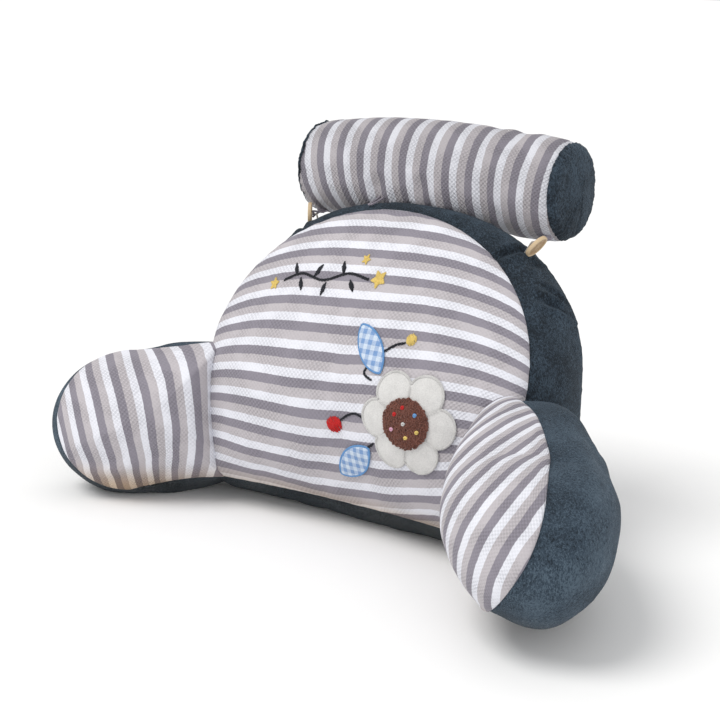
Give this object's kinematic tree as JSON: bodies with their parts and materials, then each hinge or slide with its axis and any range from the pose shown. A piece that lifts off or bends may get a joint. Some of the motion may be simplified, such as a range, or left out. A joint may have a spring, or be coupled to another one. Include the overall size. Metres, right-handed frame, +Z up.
{
  "type": "reading pillow with arms",
  "caption": "Stuffed wedge backrest with a rounded top, a short stuffed arm on each side and a round head roll held by buttons and loops.",
  "frame": {"origin": "on the floor, under the middle of the backrest", "axes": "+X to the viewer's right along the pillow's width, +Y to the back, +Z up; the front faces -Y"},
  "size_m": [0.8197, 0.4757, 0.48],
  "materials": {
    "slate_plush": "short-pile slate plush",
    "striped_waffle_cloth": "waffle cloth in grey, beige and white stripes",
    "turned_wood": "satin turned wood",
    "thread": "twisted sewing thread",
    "loop_tape": "rolled cloth tape",
    "white_felt": "soft felt",
    "brown_boucle": "curly boucle",
    "blue_gingham": "checked cotton"
  },
  "bodies": {
    "root": {"backrest_cushion": "slate_plush", "backrest_front_panel": "striped_waffle_cloth", "arm_left_cushion": "slate_plush", "arm_left_panel": "striped_waffle_cloth", "arm_right_cushion": "slate_plush", "arm_right_panel": "striped_waffle_cloth", "head_roll": "striped_waffle_cloth", "roll_end_left": "slate_plush", "roll_end_right": "slate_plush", "button_left": "turned_wood", "button_right": "turned_wood", "shank_left": "thread", "shank_right": "thread", "loop_left": "loop_tape", "loop_right": "loop_tape", "loop_middle": "loop_tape", "patch_flower": "white_felt", "patch_flower_centre": "brown_boucle", "patch_leaf_low": "blue_gingham", "patch_leaf_high": "blue_gingham"}
  },
  "joints": []
}
